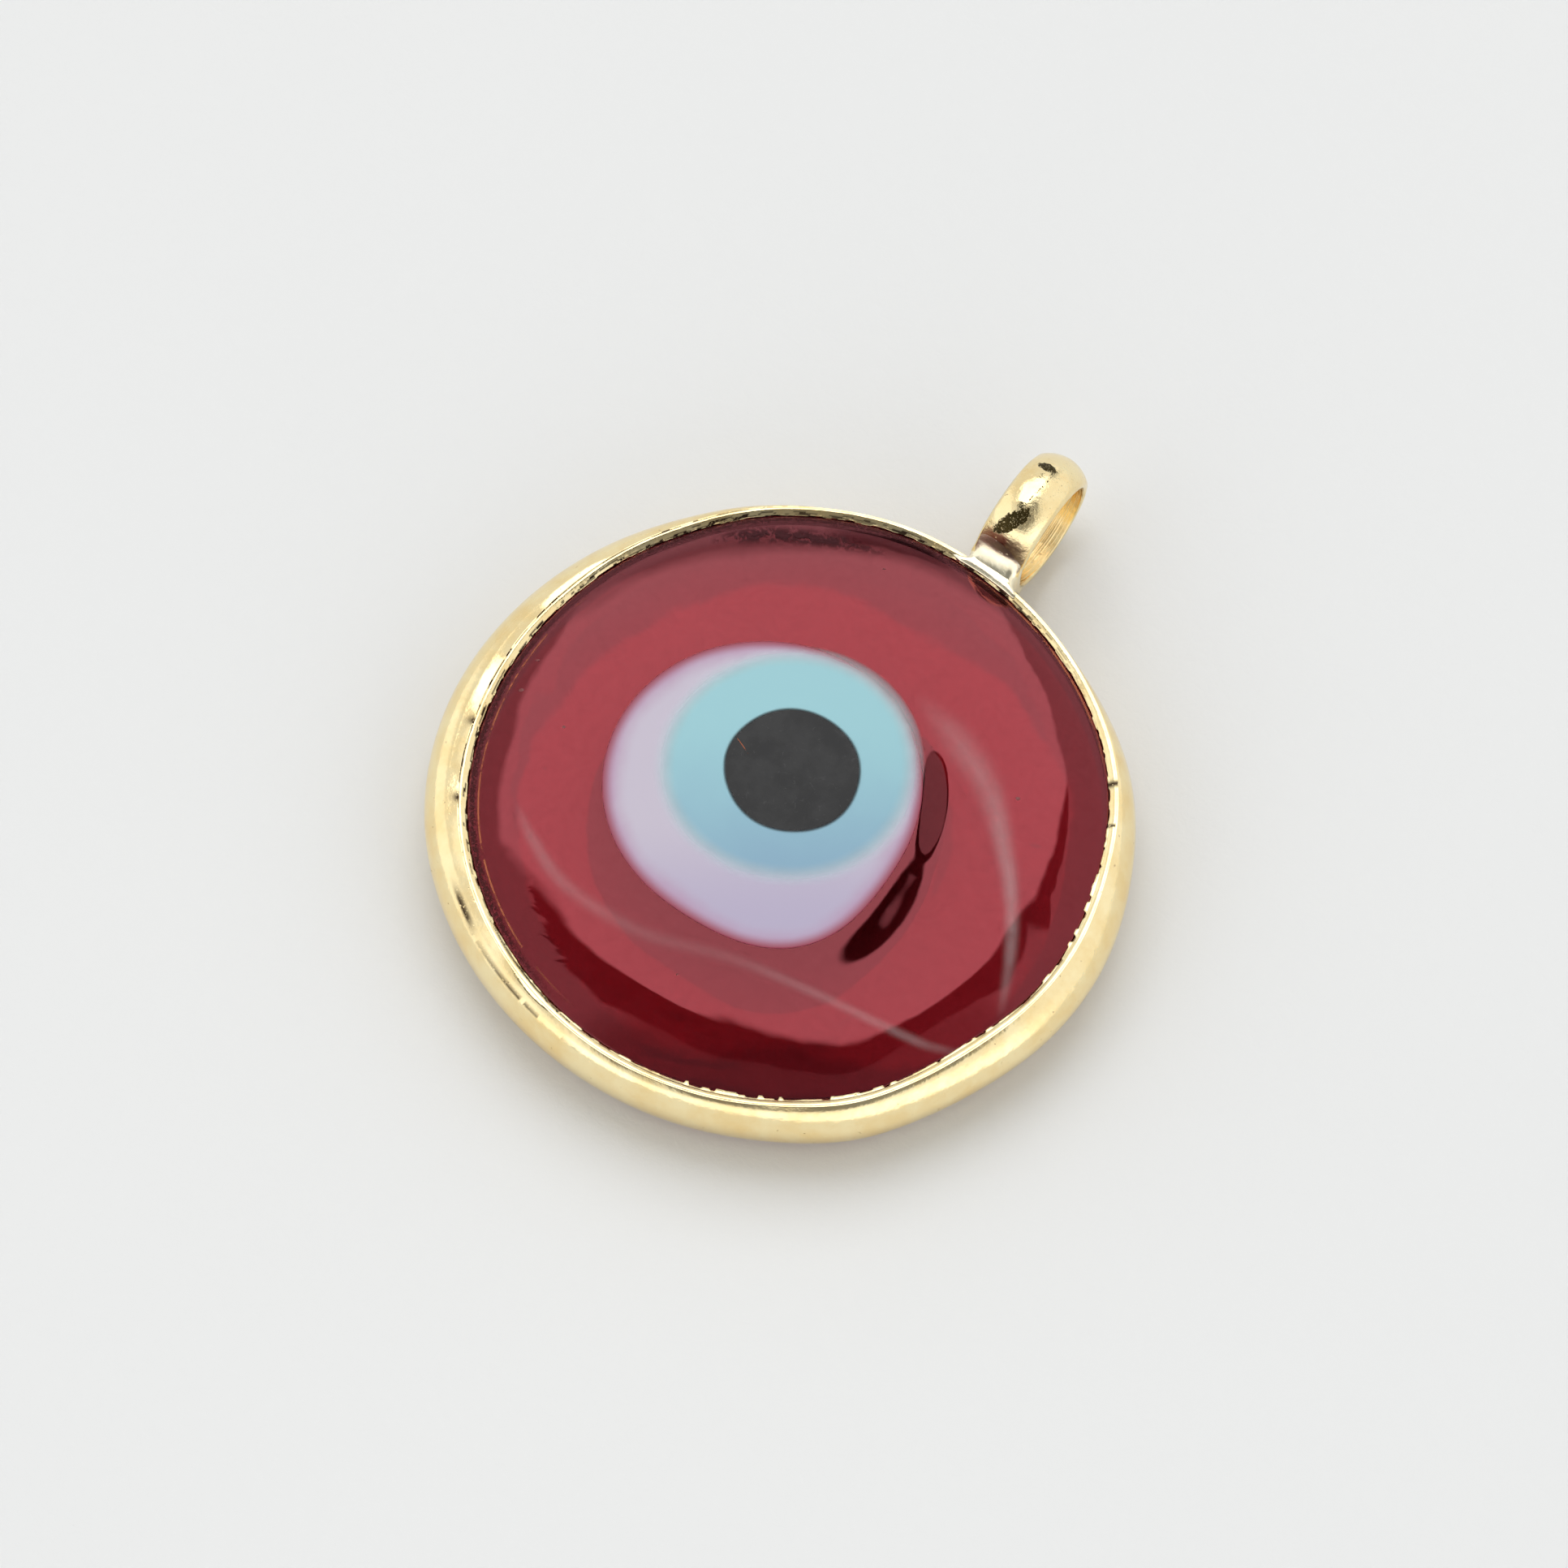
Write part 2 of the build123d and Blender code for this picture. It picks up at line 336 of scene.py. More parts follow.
# ---- materials ---------------------------------------------------------------------------------------
def gold(name, rough_low, rough_high, deep=0.0, streaks=None, dark_marked=False, reflection_seam_and_satin=False, painted_sheen=0.0,
         bumpy=1.0):
    """Pale plated gold: cloudy patches, fine pits and orange peel.

    deep makes it darker and more orange, as painted shade in the bore, and painted_sheen makes it paler, as a
    painted highlight on the neck. bumpy scales the bumps. dark_marked darkens it by the mesh's
    "painted_dark_and_spots" values: painted shade and dark reflections on the band, and a few dark spots.
    reflection_seam_and_satin darkens it by the mesh's "painted_reflection_and_seam" values: painted dark
    reflections and a dark seam on the ring. It also adds the "satin" side. streaks adds a height of its own.
    """
    material, t = new_material(name)
    where, (x, _, _) = t.place()
    cloud = t.noise(where, 0.9, 4.0, 0.6)
    grain = t.noise(where, 14.0, 3.0, 0.6)
    pits = t.noise(where, 7.0, 2.0, 0.5).step(0.70, 0.78)
    # The two settings that shift this colour paint light: one makes the gold darker and more orange, as
    # painted shade in the bore, and the other makes it paler and creamier, as a painted highlight on the
    # neck.
    pale = (0.98, 0.83 + 0.10 * painted_sheen, 0.49 + 0.26 * painted_sheen)
    warm = (0.92 - 0.05 * deep + 0.05 * painted_sheen,
            0.70 - 0.12 * deep + 0.18 * painted_sheen,
            0.34 - 0.08 * deep + 0.30 * painted_sheen)
    colour = t.mix(cloud.step(0.30, 0.75), pale, warm)
    colour = t.mix(pits * 0.45, colour, (0.30, 0.17, 0.07))
    rough = cloud.step(0.3, 0.7, rough_low, rough_high) + pits * 0.25
    height = t.noise(where, 2.6, 3.0, 0.5) + t.noise(where, 7.0, 3.0, 0.6) * 0.28 + grain * 0.08 - pits * 0.4
    if dark_marked:
        # Painted shade and dark reflections on the band, and a few dark spots, where the mesh's values ask
        # for them.
        dark = t.attribute("painted_dark_and_spots") * t.noise(where, 16.0, 3.0, 0.6).step(0.30, 0.42)
        colour = t.mix(dark, colour, (0.035, 0.018, 0.012))
        rough = rough + dark * 0.3
    if reflection_seam_and_satin:
        # On the ring: ragged dark patches that are painted reflections of the dark behind the camera, a dark
        # line along the seam, and a satin side with brown specks.
        satin = t.attribute("satin")
        spots = t.attribute("painted_reflection_and_seam")
        ragged = spots + (t.noise(where, 11.0, 4.0, 0.65) - 0.5) * 1.6
        dark = (ragged.step(0.50, 0.60) * spots.step(0.02, 0.20)
                * t.noise(where, 26.0, 2.0, 0.5).step(0.28, 0.40))
        colour = t.mix(dark, colour, (0.050, 0.036, 0.012))
        speck = t.noise(where, 22.0, 2.0, 0.5).step(0.66, 0.72) * satin
        colour = t.mix(speck * 0.6, colour, (0.34, 0.20, 0.08))
        rough = rough + dark * 0.25 + satin * 0.14
        height = height + satin * t.noise(where, 12.0, 3.0, 0.6) * 0.35 - dark * 0.6
    if streaks is not None:
        height = height + streaks(t, x)
    t.shader(colour, rough, height, 0.020 * bumpy, Metallic=1.0, IOR=1.5)
    return material


def bore_lines(t, x):
    """Fine lines round the bore, left by the tool."""
    across = t.node("ShaderNodeCombineXYZ")
    t.tree.links.new(x.socket, across.inputs["X"])
    return t.noise(across.outputs[0], 9.0, 3.0, 0.7) * 3.0


GLASS_TINT = (1.0, 0.225, 0.27, 1.0)            # of the light that the surface reflects
GLASS_COLOUR, GLASS_DENSITY = (0.775, 0.055, 0.172, 1.0), 660.0     # of the light that goes through it
GLASS_IOR = 2.0


def red_glass():
    """Red glass. Its IOR and tinted reflection are set for the look, and are higher than soda glass has."""
    material, t = new_material("red_glass")
    where, (x, y, _) = t.place()
    cloud = t.noise(where, 0.35, 2.0, 0.5)
    # Painted light: the glass is paler towards the far side, where the softbox is, and deeper towards the
    # camera, with a cloudy edge between.
    away = (x * AWAY.x + y * AWAY.y + cloud * 4.0).step(-7.0, 9.0)
    colour = t.mix(away, (0.86, 0.84, 0.84), (1.0, 0.95, 0.95))
    streaky = t.noise(where, 0.9, 5.0, 0.65, 1.2).step(0.40, 0.70)
    colour = t.mix(streaky * 0.4, colour, (0.70, 0.58, 0.58))
    height = t.noise(where, 0.7, 2.0, 0.5) + t.noise(where, 9.0, 2.0, 0.6) * 0.01
    node, out = t.shader(colour, 0.02, height, 0.006, IOR=GLASS_IOR)
    node.inputs["Transmission Weight"].default_value = 1.0
    node.inputs["Specular IOR Level"].default_value = 1.0
    node.inputs["Specular Tint"].default_value = GLASS_TINT
    inside = t.node("ShaderNodeVolumeAbsorption")
    inside.inputs["Color"].default_value = GLASS_COLOUR
    inside.inputs["Density"].default_value = GLASS_DENSITY
    t.tree.links.new(inside.outputs[0], out.inputs["Volume"])
    return material


NEARER_X, NEARER_Y = 0.599, -0.801      # over the floor, from the far side of the eye to the near side


def eye_glass(name, build, melt, gloss):
    """Opaque glass. build gives the colour from the place and the distance to the outline, in mm.

    melt is how wide the edge is in which the drop thins out over the glass under it.
    """
    material, t = new_material(name)
    where, (x, y, _) = t.place()
    to_edge = t.attribute("to_edge")
    colour = build(t, where, x, y, to_edge)
    height = t.noise(where, 0.9, 2.0, 0.5)
    node, _ = t.shader(colour, 0.05, height, 0.005, IOR=1.5)
    node.inputs["Specular IOR Level"].default_value = gloss
    if melt:
        edge = to_edge + t.noise(where, 1.5, 2.0, 0.5) * (0.12 * melt) - 0.06 * melt
        t.tree.links.new(edge.step(0.0, melt).socket, node.inputs["Alpha"])
    return material


def white_colour(t, where, x, y, to_edge):
    """White with a mauve cast, darkened on the near side, away from the softbox, as painted shade, and red
    where it thins out over the glass.
    """
    uneven = to_edge + t.noise(where, 0.6, 3.0, 0.6) * 0.5 - 0.25
    # Painted shade: darker towards the near side.
    low = (x * NEARER_X + y * NEARER_Y).step(0.5, 4.0)
    body = t.mix(low, (0.54, 0.49, 0.59), (0.45, 0.40, 0.55))
    colour = t.mix(uneven.step(0.0, 0.75), (0.45, 0.28, 0.42), body)
    return t.mix(to_edge.step(-0.05, 0.36), (0.30, 0.032, 0.058), colour)


def iris_colour(t, where, x, y, to_edge):
    """Pale blue, painted lighter towards the far side and darker towards the near side. The nearly white rim
    makes up for the light that the alpha edge takes from the white.
    """
    cloud = t.noise(where, 0.5, 2.0, 0.6)
    # Painted light: lighter towards the far side, with cloudy variation.
    up = (x * -NEARER_X + y * -NEARER_Y + cloud * 1.5).step(-3.0, 3.5)
    colour = t.mix(up, (0.22, 0.37, 0.51), (0.31, 0.57, 0.63))
    return t.mix(to_edge.step(0.0, 0.75), (0.80, 0.97, 1.0), colour)


def pupil_colour(t, where, x, y, to_edge):
    """Black, with cloudy grey and fine scratches. It takes no notice of x, y and to_edge."""
    cloud = t.noise(where, 1.2, 3.0, 0.6)
    scratch = t.noise(where, 5.0, 3.0, 0.6, 1.5).step(0.62, 0.70) * 0.35
    colour = t.mix(cloud.step(0.35, 0.65), (0.002, 0.002, 0.003), (0.012, 0.012, 0.013))
    return t.mix(scratch, colour, (0.045, 0.043, 0.045))


def milky():
    material, t = new_material("milky_wisp")
    where, _ = t.place()
    cloud = t.noise(where, 1.6, 3.0, 0.6)
    colour = t.mix(cloud, (0.90, 0.80, 0.80), (0.80, 0.66, 0.67))
    node, _ = t.shader(colour, 0.6)
    alpha = t.attribute("haze") * cloud.step(0.2, 0.7, 0.6, 1.0)
    t.tree.links.new(alpha.socket, node.inputs["Alpha"])
    return material


def seed_material():
    material, t = new_material("glass_seeds")
    where, _ = t.place()
    colour = t.mix(t.noise(where, 20.0), (0.10, 0.01, 0.01), (0.24, 0.03, 0.03))
    t.shader(colour, 0.35, t.noise(where, 30.0), 0.004)
    return material


def paper():
    material, t = new_material("paper")
    where, _ = t.place()
    wide = t.noise(where, 0.02, 2.0, 0.5)
    fibre = t.noise(where, 1.6, 6.0, 0.65, 0.3)
    colour = t.mix(wide, (0.812, 0.820, 0.824), (0.836, 0.842, 0.844))
    colour = t.mix(t.noise(where, 2.5, 2.0, 0.5).step(0.80, 0.84) * 0.5, colour, (0.55, 0.54, 0.53))
    t.shader(colour, 0.95, fibre, 0.035, 0.5, Specular_IOR_Level=0.1)
    return material


# ---- glass disc --------------------------------------------------------------------------------------
SECTORS = 360
angles = np.radians(np.arange(SECTORS) * 360.0 / SECTORS)
cosines, sines = np.cos(angles), np.sin(angles)
uneven_rim = handmade(np.degrees(angles))


def ring_points(radius, z=None):
    reach = radius * (1 + uneven_rim / RIM_R)
    x, y = reach * cosines, reach * sines
    return np.stack([x, y, front_z(x, y) if z is None else np.full_like(x, z)], axis=1)


front_rings = [ring_points(r) for r in np.linspace(0.06, RIM_R, 130)]
side_rings = [ring_points(float(glass_side(z)), z) for z in np.linspace(RIM_Z - 0.06, 0.10, 26)]
back_rings = [ring_points(BACK_R, 0.0), *(ring_points(r, 0.0) for r in np.linspace(8.3, 0.4, 10))]
side_rings.append(ring_points(BACK_R + 0.06, 0.02))
points, faces = capped_rings(front_rings + side_rings + back_rings)
points[0][2] = float(front_z(np.array([0.0]), np.array([0.0]))[0])
glass = new_mesh("glass_body", points, faces, red_glass())
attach(glass, "root")
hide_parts("glass_disc")


# ---- eye drops ---------------------------------------------------------------------------------------
# Each drop stands a little above the one it lies on, so that none is hidden. mm above the front, at the rim.
WHITE_LIFT, IRIS_LIFT, PUPIL_LIFT = 0.004, 0.010, 0.016
DROP_CROWN = 0.004      # how much higher the middle of a drop's face is lifted than its rim


def eye_drop(name, node, middle, radius_at, lift, depth, foot, material):
    """A drop of opaque glass whose face follows the front, with a side that leans in to its underside."""
    mx, my = middle
    degrees = np.degrees(angles)
    reach = radius_at(degrees)
    rings, to_edge = [], []
    for share in np.concatenate([np.linspace(0.012, 0.9, 44), np.linspace(0.915, 1.0, 12)]):
        x, y = mx + share * reach * cosines, my + share * reach * sines
        rings.append(np.stack([x, y, front_z(x, y) + lift + DROP_CROWN * (1 - share**14)], axis=1))
        to_edge.append((1 - share) * reach)
    edge = rings[-1]
    for share in np.linspace(0.15, 1.0, 7):
        inwards = 1 - (1 - foot) * share
        x, y = mx + inwards * reach * cosines, my + inwards * reach * sines
        rings.append(np.stack([x, y, edge[:, 2] * (1 - share) + (edge[:, 2].mean() - depth) * share], axis=1))
        to_edge.append(np.ones_like(reach))
    points, faces = capped_rings(rings)
    values = np.concatenate([[reach.mean()], *to_edge, [0.0]])
    piece = new_mesh(name, points, faces, material, {"to_edge": values})
    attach(piece, "root")
    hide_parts(node)
    return piece


eye_drop("white_drop", "eye_white", (EYE_X, EYE_Y), white_radius, WHITE_LIFT, 0.70, 0.60,
         eye_glass("white_glass", white_colour, 0.0, 0.25))
eye_drop("iris_drop", "eye_iris", (IRIS_X, IRIS_Y),
         lambda a: IRIS_R + 0.33 + 0.03 * np.cos(np.radians(3 * a + 40)) + 0.15 * hump(a, 62, 45),
         IRIS_LIFT, 0.50, 0.80, eye_glass("blue_glass", iris_colour, 0.75, 0.25))
eye_drop("pupil_drop", "eye_pupil", (PUPIL_X, PUPIL_Y),
         lambda a: (PUPIL_R + 0.06 + 0.02 * np.cos(np.radians(2 * a + 30))
                    + 0.012 * np.cos(np.radians(5 * a + 80))),
         PUPIL_LIFT, 0.36, 0.85, eye_glass("black_glass", pupil_colour, 0.14, 0.26))


# ---- edge band ---------------------------------------------------------------------------------------
BAND_SECTORS = 1440
band_angle = np.arange(BAND_SECTORS) * 360.0 / BAND_SECTORS
seen_angle = (band_angle - VIEW_TURN) % 360.0       # as the camera sees it
band_rng = np.random.default_rng(23)


def bulge_at(angle):
    return (BULGE + 0.25 * np.cos(np.radians(angle - 245.0))
            + 0.29 * np.cos(np.radians(2 * (angle - 10.0))))


def flakes(angle, rng):
    """How far the thin plating runs in over the glass: short ragged steps."""
    reach = np.zeros_like(angle)
    at = 0.0
    while at < 360.0:
        length = rng.uniform(0.4, 2.6)
        reach[(angle >= at) & (angle < at + length)] = rng.beta(1.3, 2.2)
        at += length
    return reach


flaky = 0.35 + 0.65 * np.maximum(hump(seen_angle, 268, 34), hump(seen_angle, 338, 12))
lip_reach = 0.02 + 0.14 * flaky * flakes(band_angle, band_rng) + waves(band_angle, 0.004, 20, 90, band_rng)
crease = CREASE_R + handmade(band_angle) + waves(band_angle, 0.008, 3, 14, band_rng)
wall = bulge_at(band_angle) + waves(band_angle, 0.010, 3, 12, band_rng)
lip_top = BAND_TOP_Z - 0.02 + waves(band_angle, 0.006, 3, 18, band_rng)
lip_inner = RIM_R + 0.06 + handmade(band_angle) - lip_reach
band_cos, band_sin = np.cos(np.radians(band_angle)), np.sin(np.radians(band_angle))
inner_z = front_z(lip_inner * band_cos, lip_inner * band_sin)

profile = [(lip_inner + 0.10, inner_z - 0.10), (lip_inner, inner_z - 0.015),
           (lip_inner - 0.004, inner_z + 0.012), (lip_inner + 0.010, inner_z + 0.030)]
crest_r = crease - 0.055
even_lip = np.maximum(RIM_R + 0.045 + handmade(band_angle), lip_inner + 0.016)
even_z = front_z(even_lip * band_cos, even_lip * band_sin) + 0.042
for share in np.linspace(0.0, 1.0, 6):
    profile.append((even_lip + (crest_r - even_lip) * share,
                    even_z + (lip_top - even_z) * math.sin(share * math.pi / 2)))
crack = 0.004 + 0.045 * hump(seen_angle, 140, 42) * (0.55 + 0.45 * flakes(band_angle, band_rng))
crack_row = len(profile)
for across, deep in ((0.012, 0.05), (0.031, 1.0), (0.050, 0.05)):
    profile.append((crest_r + across, lip_top - 0.004 - crack * deep))
half = BAND_TOP_Z - 0.03 - BAND_MIDDLE_Z
full = 0.25 + 0.75 * hump(seen_angle, 175, 62)      # the wall is fuller and rounder on this side
for share in np.linspace(-1.0, 1.0, 33):
    z = BAND_MIDDLE_Z - half * math.copysign(abs(share) ** 0.8, share)
    flat = 1 - ((z - BAND_MIDDLE_Z) / half) ** 2
    push = (1 - full) * flat + full * math.sqrt(max(flat, 0.0))
    profile.append((crease + 0.006 + (wall - 0.006) * push, np.full(BAND_SECTORS, z)))
profile.append((crease - 0.06, np.full(BAND_SECTORS, BAND_BOTTOM_Z + 0.015)))
profile.append((crease - 0.20, np.full(BAND_SECTORS, BAND_BOTTOM_Z)))
inset = handmade(band_angle) - 0.03
under = float(glass_side(0.52)) + inset
profile.append((under, np.full(BAND_SECTORS, BAND_BOTTOM_Z + 0.005)))
for z in (0.62, 0.90, 1.35, 1.8, 2.15):
    profile.append((float(glass_side(z)) + inset, np.full(BAND_SECTORS, z)))
rows = [np.stack([np.broadcast_to(r, band_angle.shape) * band_cos,
                  np.broadcast_to(r, band_angle.shape) * band_sin,
                  np.broadcast_to(z, band_angle.shape)], axis=1) for r, z in profile]
band_points = np.concatenate(rows)
band_faces = [tuple(reversed(f)) for f in grid_faces(len(rows), BAND_SECTORS, close_rows=True)]
# Dark marks on the band, read by its gold: painted shade in the crease on the far left, painted dark
# reflections along the inside of the lip and on the lower left bevel, and a few dark spots.
dark_marks_rng = np.random.default_rng(31)
painted_dark_and_spots = np.zeros((len(rows), BAND_SECTORS))
# Painted shade in the crease behind the lip, on the far left.
cracked = (np.clip(hump(seen_angle, 142, 46) * 1.5, 0, 1)
           * (0.35 + 0.65 * (flakes(band_angle, dark_marks_rng) > 0.22)))
painted_dark_and_spots[crack_row + 1] = cracked
painted_dark_and_spots[crack_row] = cracked * (flakes(band_angle, dark_marks_rng) > 0.35)
painted_dark_and_spots[crack_row + 2] = cracked * (flakes(band_angle, dark_marks_rng) > 0.55)
# Painted dark reflections along the inner edge of the lip.
dark_lip = np.clip(1.2 * hump(seen_angle, 112, 40) + 0.9 * hump(seen_angle, 178, 36)
                   + hump(seen_angle, 52, 24), 0, 1)
for row in range(1, 7):
    painted_dark_and_spots[row] = dark_lip * (flakes(band_angle, dark_marks_rng) > 0.10 + (0.05 + 0.04 * (seen_angle > 128)) * row)
# A few dark spots on the lip, the crease and the bevel.
for at, wide, first_row, last_row in ((4.6, 0.7, 1, crack_row + 3), (356.5, 0.35, 1, crack_row),
                                      (178.0, 1.2, crack_row, crack_row + 4),
                                      (163.0, 0.9, crack_row, crack_row + 4)):
    for row in range(first_row, last_row):
        painted_dark_and_spots[row] = np.maximum(painted_dark_and_spots[row], hump(seen_angle, at, wide))
# Painted dark reflection on the lower left bevel, and a dark streak beside it.
bevel_row = crack_row + 4
blotch = np.clip(hump(seen_angle, 198.5, 3.6) * 1.3, 0, 1) * (flakes(band_angle, dark_marks_rng) > 0.12)
streak = 0.9 * hump(seen_angle, 216, 12) * (flakes(band_angle, dark_marks_rng) > 0.18)
painted_dark_and_spots[bevel_row + 1] = blotch * 0.8
painted_dark_and_spots[bevel_row + 2] = np.maximum(blotch, streak * 0.6)
painted_dark_and_spots[bevel_row + 3] = streak
band = new_mesh("edge_plating", band_points, band_faces, gold("gold_band", 0.09, 0.18, dark_marked=True, bumpy=0.5),
                {"painted_dark_and_spots": painted_dark_and_spots.ravel()})
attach(band, "root")
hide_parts("edge_band")

# ---- bail ring ---------------------------------------------------------------------------------------
lean = np.array((math.cos(BAIL_LEAN), 0.0, -math.sin(BAIL_LEAN)))
bail_along = np.array((lean[0] * math.cos(BAIL_YAW), lean[0] * math.sin(BAIL_YAW), lean[2]))
bail_out = np.array((-math.sin(BAIL_YAW), math.cos(BAIL_YAW), 0.0))
bail_up = np.cross(bail_along, bail_out)


def dome_r(along):
    """Radius of the domed outside of the ring at a distance along its axis."""
    half_width = BAIL_WIDTH / 2
    rise = BAIL_R - BAIL_EDGE_R
    arc = (half_width**2 + rise**2) / (2 * rise)
    return BAIL_R - arc + np.sqrt(np.maximum(arc**2 - np.minimum(np.abs(along), half_width) ** 2, 0))


def crown(angle):
    """How full the dome of the ring is at an angle round it: filed thin where the ring meets the neck."""
    up_the_front = near(180.0 - angle, 0.0)
    return 1 - 0.85 * smooth((62.0 - up_the_front) / 36.0) * smooth((up_the_front + 85.0) / 45.0)


ring_rng = np.random.default_rng(41)
RING_SECTORS = 320
ring_angle = np.arange(RING_SECTORS) * 360.0 / RING_SECTORS
half_width = BAIL_WIDTH / 2
DOME_STATIONS, BORE_STATIONS = 33, 41       # points across the dome and across the bore
section = []
for share in np.linspace(-1, 1, DOME_STATIONS):
    along = share * (half_width - 0.05)
    section.append((along, float(dome_r(along)), 1.0))
section += [(half_width - 0.02, BAIL_EDGE_R - 0.035, 0.6), (half_width, BAIL_EDGE_R - 0.08, 0.3),
            (half_width - 0.005, BORE_R + 0.05, 0.2), (half_width - 0.03, BORE_R + 0.015, 0.2)]
bore_first = len(section)
for share in np.linspace(1, -1, BORE_STATIONS):
    ridge = 0.007 * math.sin(31 * share + 2.2 * math.sin(5 * share))
    section.append((share * (half_width - 0.06), BORE_R + ridge, 0.2))
section += [(-half_width + 0.03, BORE_R + 0.015, 0.2), (-half_width + 0.005, BORE_R + 0.05, 0.2),
            (-half_width, BAIL_EDGE_R - 0.08, 0.3), (-half_width + 0.02, BAIL_EDGE_R - 0.035, 0.6)]
rows = []
uneven = waves(ring_angle, 0.010, 2, 9, ring_rng)
skew = waves(ring_angle, 0.012, 2, 6, ring_rng)
thin = crown(ring_angle)
ring_reflection_and_seam, ring_satin = [], []
climb = near(180.0 - ring_angle, 0.0)
for along, radius, share in section:
    r = np.where(radius > BAIL_EDGE_R, BAIL_EDGE_R + (radius - BAIL_EDGE_R) * thin, radius) + share * uneven
    a = along + share * skew
    seam = 0.02 + 0.06 * np.sin(np.radians(4 * climb))
    # Two ragged dark patches on the dome, painted reflections of the dark behind the camera, and a dark line
    # along the seam.
    lower = 1.25 - ((a - (-0.28 + 0.0165 * (climb - 50))) / 0.30) ** 2 - ((climb - 61) / 19) ** 2
    upper = 1.25 - ((a + 0.20) / 0.34) ** 2 - ((climb - 117) / 5.5) ** 2
    line = 0.62 * np.exp(-(((a - seam) / 0.035) ** 2)) * smooth((climb - 70) / 8) * smooth((118 - climb) / 8)
    ring_reflection_and_seam.append(np.where(share == 1.0,
                                 np.clip(np.maximum(np.maximum(lower, upper), line), 0, 1), 0.0))
    ring_satin.append(np.where(share == 1.0, smooth((a - seam) / 0.12 + 0.5), 0.5))
    c, s = np.cos(np.radians(ring_angle)), np.sin(np.radians(ring_angle))
    rows.append(BAIL_MIDDLE + np.outer(a, bail_along) + np.outer(r * c, bail_out) + np.outer(r * s, bail_up))
ring_faces = grid_faces(len(rows), RING_SECTORS, close_rows=True)
bail = new_mesh("bail_loop", np.concatenate(rows), ring_faces, gold("gold_bail", 0.07, 0.13, reflection_seam_and_satin=True),
                {"painted_reflection_and_seam": np.concatenate(ring_reflection_and_seam), "satin": np.concatenate(ring_satin)})
# The bore's darker, more orange gold is painted shade inside the ring.
bore_gold = gold("gold_bore", 0.16, 0.28, deep=0.35, streaks=bore_lines)
bail.data.materials.append(bore_gold)
for polygon in bail.data.polygons:
    if bore_first - 1 <= polygon.index // RING_SECTORS <= bore_first + BORE_STATIONS:
        polygon.material_index = 1
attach(bail, "root")
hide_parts("bail_ring")


# ---- neck: metal drawn up from the band into the ring ------------------------------------------------
NECK_INNER_R = 9.12     # the neck's part of the band stops short of the glass
RING_BLEND, BAND_BLEND = 0.40, 0.18     # radii of the fillets between the web and its neighbours
WEB_START_Y, WEB_LENGTH = 9.10, 0.60    # it narrows and rises over this stretch
WEB_HALF_WIDTH, WEB_FLARE = 0.62, 0.46  # at the ring, and how much more it is at the band
WEB_TOP, WEB_RISE, WEB_BOTTOM = 2.62, 0.09, 0.95
WEB_CORNER = 0.22
NET_STEP = 0.045


def smooth_min(a, b, k):
    h = np.clip(0.5 + 0.5 * (b - a) / k, 0, 1)
    return b + (a - b) * h - k * h * (1 - h)


def ring_distance(p, sink):
    q = p - BAIL_MIDDLE
    along = q @ bail_along
    out = np.linalg.norm(q - along[..., None] * bail_along, axis=-1)
    ends = np.abs(along) - (half_width - 0.03)
    dome = BAIL_EDGE_R + (dome_r(along) - BAIL_EDGE_R) * crown(
        np.degrees(np.arctan2(q @ bail_up, q @ bail_out)))
    return np.maximum(np.maximum(ends, out - dome), BORE_R + 0.03 - out) + sink


def band_distance(p, sink):
    r = np.hypot(p[..., 0], p[..., 1])
    angle = np.degrees(np.arctan2(p[..., 1], p[..., 0]))
    share = np.clip((BAND_MIDDLE_Z - p[..., 2]) / half, -1, 1)
    push = 0.5 * (1 - share**2) + 0.5 * np.sqrt(np.maximum(1 - share**2, 0))
    outer = CREASE_R + bulge_at(angle) * push
    top, bottom = BAND_TOP_Z - 0.03, BAND_BOTTOM_Z + 0.03
    levels = np.maximum(p[..., 2] - top, bottom - p[..., 2])
    return np.maximum(np.maximum(r - outer, levels), NECK_INNER_R - r) + sink


def web_distance(p):
    """The web itself: nearly flat on top, wide at the band and narrower at the ring."""
    share = np.clip((p[..., 1] - WEB_START_Y) / WEB_LENGTH, 0, 1)
    wide = WEB_HALF_WIDTH + WEB_FLARE * (1 - share) ** 2
    top = WEB_TOP + WEB_RISE * share**1.5 - 0.05 * smooth((9.20 - np.hypot(p[..., 0], p[..., 1])) / 0.14)
    dx = np.abs(p[..., 0] - 0.20 + 0.09 * share) - (wide - WEB_CORNER)
    dz = np.abs(p[..., 2] - (top + WEB_BOTTOM) / 2) - ((top - WEB_BOTTOM) / 2 - WEB_CORNER)
    dy = np.maximum(8.70 - p[..., 1], p[..., 1] - 9.75)
    outside = np.sqrt(np.maximum(dx, 0) ** 2 + np.maximum(dz, 0) ** 2 + np.maximum(dy, 0) ** 2)
    return outside + np.minimum(np.maximum(np.maximum(dx, dz), dy), 0) - WEB_CORNER


def neck_distance(p):
    away = np.linalg.norm((p - np.array((0.0, 9.55, 1.9))) * np.array((1.0, 1.0, 0.62)), axis=-1)
    sink = 0.004 + 0.06 * smooth((away - 0.95) / 0.7)
    ring_and_web = smooth_min(ring_distance(p, sink), web_distance(p), RING_BLEND)
    solid = smooth_min(ring_and_web, band_distance(p, sink), BAND_BLEND)
    bore = BORE_R + 0.02 - np.linalg.norm(
        (p - BAIL_MIDDLE) - ((p - BAIL_MIDDLE) @ bail_along)[..., None] * bail_along, axis=-1)
    limit = np.maximum(away - 1.75, 9.06 - np.hypot(p[..., 0], p[..., 1]))
    return np.maximum(np.maximum(solid, bore), limit)


